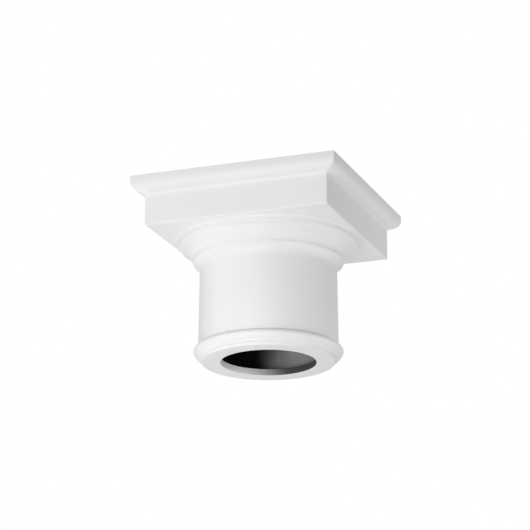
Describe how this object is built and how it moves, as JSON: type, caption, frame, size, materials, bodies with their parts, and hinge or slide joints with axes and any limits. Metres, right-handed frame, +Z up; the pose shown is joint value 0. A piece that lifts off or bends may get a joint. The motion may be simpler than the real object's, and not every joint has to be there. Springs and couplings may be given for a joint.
{
  "type": "column capital",
  "caption": "Plain white moulded column capital: square crown moulding and abacus on a round echinus, neck and astragal, open below for the shaft.",
  "frame": {"origin": "centre of the flat ring on the underside, on the neck's axis", "axes": "+Z up along the neck's axis; the abacus's four sides face +X, -X, +Y and -Y"},
  "size_m": [0.318, 0.318, 0.26],
  "materials": {
    "white_finish": "smooth satin-matt white coat on moulded rigid foam"
  },
  "bodies": {
    "root": {"capital": "white_finish"}
  },
  "joints": []
}
